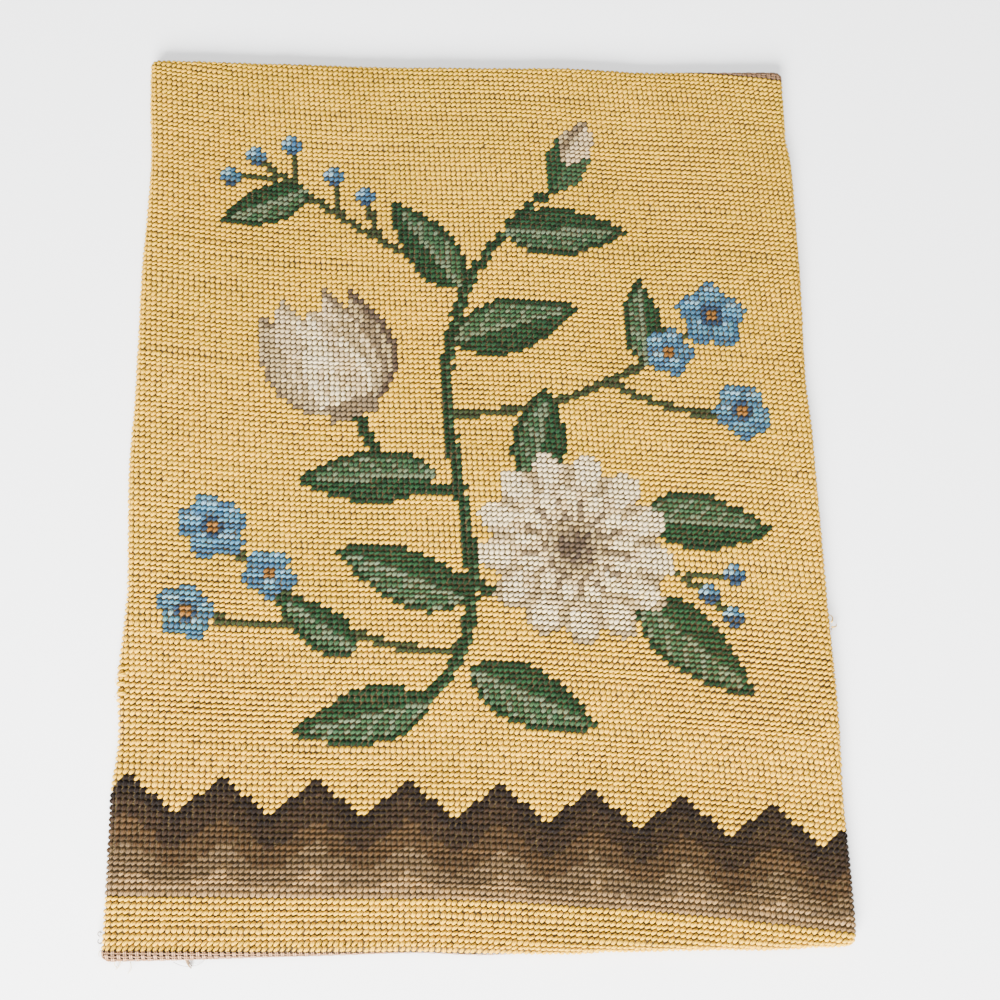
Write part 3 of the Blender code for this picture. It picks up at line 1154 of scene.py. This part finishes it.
@functools.lru_cache(maxsize=None)
def canvas_material():
    """Stiff cotton canvas, painted dark as painted shade where wool fills it, in its holes and behind its
    bare threads.
    """
    settings = bpy.context.scene.needlepoint_canvas
    finish = Finish("bare canvas")
    height = weave_profile(finish)
    fibre = finish.noise(finish.spot(), scale=6.0)
    thread = finish.tint(tuple(settings.colour), 0.75 + 0.5 * fibre)
    # Painted shade: the holes of the weave and the sheet behind the bare threads take the dark hole colour,
    # and the canvas between the stitches the dark gap colour
    weave = finish.mix(height.above(0.08), tuple(settings.hole_shade_colour), thread)
    bare = finish.mix(finish.attribute("woven", "Fac"), tuple(settings.hole_shade_colour), weave)
    return finish.surface(
        Roughness=0.9, Specular_IOR_Level=0.2,
        Base_Color=finish.mix(finish.attribute("worked", "Fac"), bare, tuple(settings.gap_shade_colour)),
        Normal=finish.bump(height, distance=0.4 * MM),
    )


@functools.lru_cache(maxsize=None)
def reverse_material():
    """The back of the worked canvas: steep overlapping strokes of wool in the design's colours."""
    finish = Finish("reverse stitches")
    column, row = finish.uv("weave")
    stroke = (column * 1.0 + row * 0.42) % 1.0
    height = hump(stroke, 0.5, 0.5) * hump(row % 1.0, 0.5, 0.5, power=4.0)
    strands = finish.noise(finish.join(column * 9.0, row * 2.0), scale=1.0)
    wool = finish.attribute("reverse_wool")
    # Painted shade: the wool is painted darker in the low grooves between the strokes, with random strand
    # tone
    return finish.surface(
        Roughness=0.9, Sheen_Weight=0.2,
        Base_Color=finish.tint(wool, (0.35 + 0.45 * height) * (0.8 + 0.4 * strands)),
        Normal=finish.bump(height + 0.25 * strands, distance=0.5 * MM),
    )


@functools.lru_cache(maxsize=None)
def wool_material():
    """Soft two-ply wool whose strands run along each stitch."""
    settings = bpy.context.scene.needlepoint_stitches
    finish = Finish("tapestry wool")
    along, around = finish.uv("strand")
    twisted = around + 0.36 * along
    ply = abs((twisted * (pi / 1.05)).sine())
    fibres = finish.noise(finish.join(along * 0.9, twisted * 8.5), scale=1.0, roughness=0.65)
    fuzz = finish.noise(finish.spot(), scale=5.5, roughness=0.7)
    colour = finish.attribute("wool_colour")
    # Painted shade: the tone is darker in the grooves between the plies; the fibres and fuzz vary it at
    # random
    tone = 0.50 + 0.44 * ply + 0.30 * fibres + 0.14 * fuzz
    coarse = finish.bump(ply + 0.5 * fibres, distance=0.28 * MM, strength=0.9)
    return finish.surface(
        Roughness=settings.roughness, Sheen_Weight=settings.sheen, Sheen_Roughness=0.45,
        Specular_IOR_Level=0.08,
        Base_Color=finish.tint(colour, tone),
        Normal=finish.bump(fuzz, distance=0.05 * MM, strength=0.7, under=coarse),
    )


@functools.lru_cache(maxsize=None)
def thread_material():
    """Cotton canvas thread with its tight twist."""
    finish = Finish("canvas thread")
    along, around = finish.uv("strand")
    twist = (along * 14.0 + around * 5.0).sine()
    fibre = finish.noise(finish.spot(), scale=7.0)
    # Painted shade: the thread is painted a little darker along the grooves of its twist, with random fibre
    # tone
    return finish.surface(
        Roughness=0.85, Sheen_Weight=0.1, Specular_IOR_Level=0.25,
        Base_Color=finish.tint(finish.attribute("wool_colour"), 0.82 + 0.08 * twist + 0.2 * fibre),
        Normal=finish.bump(twist, distance=0.04 * MM, strength=0.5),
    )


def loose_material(name, colour):
    """Fluffed single yarn."""
    finish = Finish(name)
    fibre = finish.noise(finish.spot(), scale=4.0)
    return finish.surface(
        Roughness=0.9, Sheen_Weight=0.4,
        Base_Color=finish.tint(tuple(colour), 0.75 + 0.5 * fibre),
        Normal=finish.bump(fibre, distance=0.05 * MM),
    )


def floor_material():
    """A smooth pale worktop."""
    settings = bpy.context.scene.needlepoint_studio
    finish = Finish("pale worktop")
    place = finish.node("ShaderNodeTexCoord", None, None, "Object")
    cloud = finish.noise(place, scale=1.3, detail=2.0)
    return finish.surface(
        Specular_IOR_Level=0.35,
        Base_Color=finish.tint(tuple(settings.floor_colour), 0.98 + 0.04 * cloud),
        Roughness=0.38 + 0.12 * cloud,
    )


# Loose ends at the edges

LooseEnd = namedtuple("LooseEnd", "x y z reach angle curl radius droop wool")
LOOSE_ENDS = [
    LooseEnd(-127.6, -214.6, 2.0, 4.6, -74, 20, 0.62, 1.4, "oat"),
    LooseEnd(-127.0, -214.8, 1.8, 3.6, -66, 12, 0.50, 1.4, "hazel"),
    LooseEnd(-127.4, -215.0, 1.2, 4.4, -84, 45, 0.36, 1.4, "ivory"),
    LooseEnd(-133, -216, 0.9, 14.0, -28, 55, 0.10, 1.4, "hazel"),
    LooseEnd(-157, -214.5, 2.2, 4.0, -120, 80, 0.24, 1.4, "ivory"),
    LooseEnd(-155, -215, 1.8, 4.6, -95, -50, 0.22, 1.4, "ivory"),
    LooseEnd(-151, -215.5, 1.6, 5.4, -70, -60, 0.20, 1.4, "ivory"),
    LooseEnd(-158.5, -213.5, 2.4, 3.4, -150, 60, 0.22, 1.4, "ivory"),
    LooseEnd(-163.0, -203.4, 4.2, 3.6, 150, 140, 0.34, 1.4, "hazel"),
    LooseEnd(-163.0, -207.6, 3.4, 3.2, 200, -110, 0.34, 1.4, "hazel"),
    LooseEnd(-163.2, -210.6, 2.6, 3.0, 215, 60, 0.20, 1.4, "oyster"),
    LooseEnd(-161.4, -95.6, 4.6, 3.4, 150, 120, 0.26, 1.8, "gold"),
    LooseEnd(-161.4, -103.4, 4.6, 3.0, 205, -90, 0.22, 1.8, "gold"),
    LooseEnd(162.2, -72, 4.2, 5.4, 44, 80, 0.42, 1.4, "gold"),
    LooseEnd(162.4, -74, 3.6, 4.4, -10, 70, 0.40, 1.4, "gold"),
    LooseEnd(162.2, -75.5, 3.0, 4.8, 60, -50, 0.26, 1.4, "oat"),
]
LOOSE_STEPS = 8
LOOSE_TAPER = 0.55
LOOSE_CLEARANCE = 0.1


def loose_end(end):
    """A short curling end of yarn, lying out from the edge and falling towards the surface."""
    data = bpy.data.curves.new("loose_end", "CURVE")
    data.dimensions = "3D"
    data.bevel_depth = end.radius * MM
    data.bevel_resolution = 1
    data.use_fill_caps = True
    spline = data.splines.new("POLY")
    spline.points.add(LOOSE_STEPS)
    x, y, angle = end.x, end.y, radians(end.angle)
    for k, point in enumerate(spline.points):
        share = k / LOOSE_STEPS
        fall = end.z * (1 - share ** end.droop) + end.radius + LOOSE_CLEARANCE
        point.co = (x * MM, y * MM, fall * MM, 1)
        point.radius = 1 - LOOSE_TAPER * share
        x += end.reach / LOOSE_STEPS * cos(angle)
        y += end.reach / LOOSE_STEPS * sin(angle)
        angle += radians(end.curl) / LOOSE_STEPS * (1 + share)
    holder = bpy.data.objects.new("loose_end", data)
    mesh = bpy.data.meshes.new_from_object(holder)
    bpy.data.objects.remove(holder)
    bpy.data.curves.remove(data)
    return mesh


def loose_piece():
    """All the loose ends as one piece, each in the colour of its wool."""
    bm = bmesh.new()
    names = sorted({end.wool for end in LOOSE_ENDS})
    for end in LOOSE_ENDS:
        part = loose_end(end)
        part.polygons.foreach_set("material_index", [names.index(end.wool)] * len(part.polygons))
        bm.from_mesh(part)
        bpy.data.meshes.remove(part)
    bmesh.ops.remove_doubles(bm, verts=bm.verts, dist=0.01 * MM)
    bmesh.ops.recalc_face_normals(bm, faces=bm.faces)
    mesh = mesh_from(bm, "loose_ends")
    wools = bpy.context.scene.needlepoint_wools
    for name in names:
        mesh.materials.append(loose_material(f"loose {name} yarn", getattr(wools, name)))
    return add_piece(mesh)


# What a user can change


def length_slider(name, description, default, least, most):
    """A length, given in millimetres."""
    return FloatProperty(
        name=name, description=description, default=default * MM, min=least * MM, max=most * MM,
        unit="LENGTH",
    )


def share_slider(name, description, default):
    """A share from 0 to 1."""
    return FloatProperty(
        name=name, description=description, default=default, min=0.0, max=1.0, subtype="FACTOR",
    )


def power_slider(name, description, default, unit="POWER"):
    """A lamp's power in watts, or a plain strength."""
    return FloatProperty(name=name, description=description, default=default, min=0.0, unit=unit)


def colour_picker(name, description, default):
    """A colour, given as linear light."""
    return FloatVectorProperty(
        name=name, description=description, default=default, subtype="COLOR", size=3, min=0.0, max=1.0,
    )


class StitchSettings(bpy.types.PropertyGroup):
    """The size and finish of the stitches."""

    length: length_slider("Stitch length", "Length of a tent stitch from end to end", 3.42, 2, 4)
    width: length_slider("Stitch width", "Width of a tent stitch across its middle", 2.08, 1, 3)
    thickness: length_slider("Stitch thickness", "Height of a tent stitch at its middle", 1.8, 0.5, 2.5)
    dive: length_slider("Stitch dive", "How far the ends of a stitch sink into their holes", 0.62, 0, 1)
    roughness: share_slider("Wool roughness", "How matt the wool is", 0.85)
    sheen: share_slider("Wool sheen", "Soft glow of the wool's fuzz", 0.02)


class CanvasSettings(bpy.types.PropertyGroup):
    """The threads and colours of the canvas."""

    thread: length_slider("Thread thickness", "Thickness of a canvas thread", 0.62, 0.2, 1)
    colour: colour_picker("Canvas colour", "Colour of the cotton threads", linear(174, 127, 82))
    # Painted shade: the canvas's holes and the canvas deep between the stitches are painted dark where no
    # light reaches
    hole_shade_colour: colour_picker("Hole colour", "Colour in the holes of the canvas", linear(20, 11, 5))
    gap_shade_colour: colour_picker(
        "Packed colour", "Colour of the canvas deep between the stitches", linear(64, 50, 26),
    )


class WoolColours(bpy.types.PropertyGroup):
    """The colours of the wools."""


for shade in WOOLS:
    WoolColours.__annotations__[shade.name] = colour_picker(
        shade.name.replace("_", " ").capitalize(), f"Colour of the {shade.name} wool",
        [WOOL_RETURN * part for part in linear(shade.red, shade.green, shade.blue)],
    )


class StudioSettings(bpy.types.PropertyGroup):
    """The floor and the lights."""

    floor_colour: colour_picker("Floor colour", "Colour of the worktop", (0.74, 0.742, 0.744))
    key_power: power_slider("Key light", "Power of the main window light", 510.0)
    fill_power: power_slider("Fill light", "Power of the soft overhead light", 66.0)
    sky_strength: power_slider("Room light", "Strength of the light from all round", 0.64, "NONE")


# The operators


class NEEDLEPOINT_OT_canvas(bpy.types.Operator):
    """Make the canvas sheet with its turned edges under the pieces made so far, and its bare threads"""
    bl_idname = "needlepoint.canvas"
    bl_label = "Canvas"

    def execute(self, context):
        bare_threads()
        sheet = canvas_sheet()
        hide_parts("stitched_canvas")
        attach(sheet, "root")
        return {"FINISHED"}


class StitchOperator:
    """Shared by the operators that work one family of wools."""

    family = ""

    def execute(self, context):
        _, wool, _, _ = all_stitches()
        where = family_of(wool) == self.family
        if not where.any():
            raise RuntimeError(f"the chart has no {self.family} stitches")
        stitch_piece(f"{self.family}_stitches", where)
        return {"FINISHED"}


class NEEDLEPOINT_OT_gold(bpy.types.Operator):
    """Work the gold ground, in level bands"""
    bl_idname = "needlepoint.gold"
    bl_label = "Gold ground"

    def execute(self, context):
        _, wool, row, _ = all_stitches()
        gold = family_of(wool) == "gold"
        edges = np.quantile(row[gold], (0.2, 0.4, 0.6, 0.8))
        band = np.searchsorted(edges, row)
        for number in range(5):
            stitch_piece(f"gold_stitches_{number + 1}", gold & (band == number), number == 1)
        return {"FINISHED"}


class NEEDLEPOINT_OT_cream(StitchOperator, bpy.types.Operator):
    """Work the cream flowers"""
    bl_idname = "needlepoint.cream"
    bl_label = "Cream flowers"
    family = "cream"


class NEEDLEPOINT_OT_green(StitchOperator, bpy.types.Operator):
    """Work the green leaves and stems"""
    bl_idname = "needlepoint.green"
    bl_label = "Green leaves"
    family = "green"


class NEEDLEPOINT_OT_blue(StitchOperator, bpy.types.Operator):
    """Work the blue blossoms and berries"""
    bl_idname = "needlepoint.blue"
    bl_label = "Blue blossoms"
    family = "blue"


class NEEDLEPOINT_OT_brown(StitchOperator, bpy.types.Operator):
    """Work the brown flame-stitch band and the eyes of the blossoms"""
    bl_idname = "needlepoint.brown"
    bl_label = "Brown band"
    family = "brown"


class NEEDLEPOINT_OT_loose_ends(bpy.types.Operator):
    """Make the loose yarn ends at the edges"""
    bl_idname = "needlepoint.loose_ends"
    bl_label = "Loose ends"

    def execute(self, context):
        loose_piece()
        return {"FINISHED"}


class NEEDLEPOINT_OT_stage(bpy.types.Operator):
    """Set the pale worktop, the soft lights and the camera"""
    bl_idname = "needlepoint.stage"
    bl_label = "Studio"

    def execute(self, context):
        settings = context.scene.needlepoint_studio
        bm = bmesh.new()
        bmesh.ops.create_grid(bm, x_segments=1, y_segments=1, size=WORKTOP_REACH)
        mesh = mesh_from(bm, "worktop")
        mesh.materials.append(floor_material())
        put("worktop", mesh)

        for lamp in LAMPS:
            light = bpy.data.lights.new(lamp.name, "AREA")
            light.shape = "RECTANGLE"
            light.size = lamp.width
            light.size_y = lamp.height
            light.energy = getattr(settings, lamp.power)
            holder = put(lamp.name, light)
            holder.location = lamp.place
            holder.rotation_euler = (-Vector(lamp.place)).to_track_quat("-Z", "Y").to_euler()

        world = bpy.data.worlds.new("room")
        world.use_nodes = True
        background = world.node_tree.nodes["Background"]
        background.inputs["Color"].default_value = ROOM_COLOUR
        background.inputs["Strength"].default_value = settings.sky_strength
        context.scene.world = world

        data = bpy.data.cameras.new("camera")
        data.sensor_fit = "HORIZONTAL"
        data.sensor_width = CAMERA_SENSOR
        data.lens = CAMERA_LENS
        camera = put("camera", data)
        camera.location = CAMERA_PLACE
        camera.rotation_euler = CAMERA_TURN
        context.scene.camera = camera
        return {"FINISHED"}


OPERATORS = (
    NEEDLEPOINT_OT_gold,
    NEEDLEPOINT_OT_cream,
    NEEDLEPOINT_OT_green,
    NEEDLEPOINT_OT_blue,
    NEEDLEPOINT_OT_brown,
    NEEDLEPOINT_OT_loose_ends,
    NEEDLEPOINT_OT_canvas,
    NEEDLEPOINT_OT_stage,
)


class NEEDLEPOINT_PT_panel(bpy.types.Panel):
    """Lists the steps of the panel, in order"""
    bl_label = "Needlepoint panel"
    bl_idname = "NEEDLEPOINT_PT_panel"
    bl_space_type = "VIEW_3D"
    bl_region_type = "UI"
    bl_category = "Needlepoint"

    def draw(self, context):
        for operator in OPERATORS:
            self.layout.operator(operator.bl_idname)
        for name in SETTINGS:
            group = getattr(context.scene, name)
            for key in group.__annotations__:
                self.layout.prop(group, key)


SETTINGS = {
    "needlepoint_stitches": StitchSettings,
    "needlepoint_canvas": CanvasSettings,
    "needlepoint_wools": WoolColours,
    "needlepoint_studio": StudioSettings,
}


def register():
    for item in (*SETTINGS.values(), *OPERATORS, NEEDLEPOINT_PT_panel):
        bpy.utils.register_class(item)
    for name, group in SETTINGS.items():
        setattr(bpy.types.Scene, name, PointerProperty(type=group))


def unregister():
    for name in SETTINGS:
        delattr(bpy.types.Scene, name)
    for item in (NEEDLEPOINT_PT_panel, *reversed(OPERATORS), *reversed(SETTINGS.values())):
        bpy.utils.unregister_class(item)


def main():
    register()
    bpy.ops.needlepoint.gold()
    bpy.ops.needlepoint.cream()
    bpy.ops.needlepoint.green()
    bpy.ops.needlepoint.blue()
    bpy.ops.needlepoint.brown()
    bpy.ops.needlepoint.loose_ends()
    bpy.ops.needlepoint.canvas()
    bpy.ops.needlepoint.stage()
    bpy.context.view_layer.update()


if __name__ == "__main__":
    main()
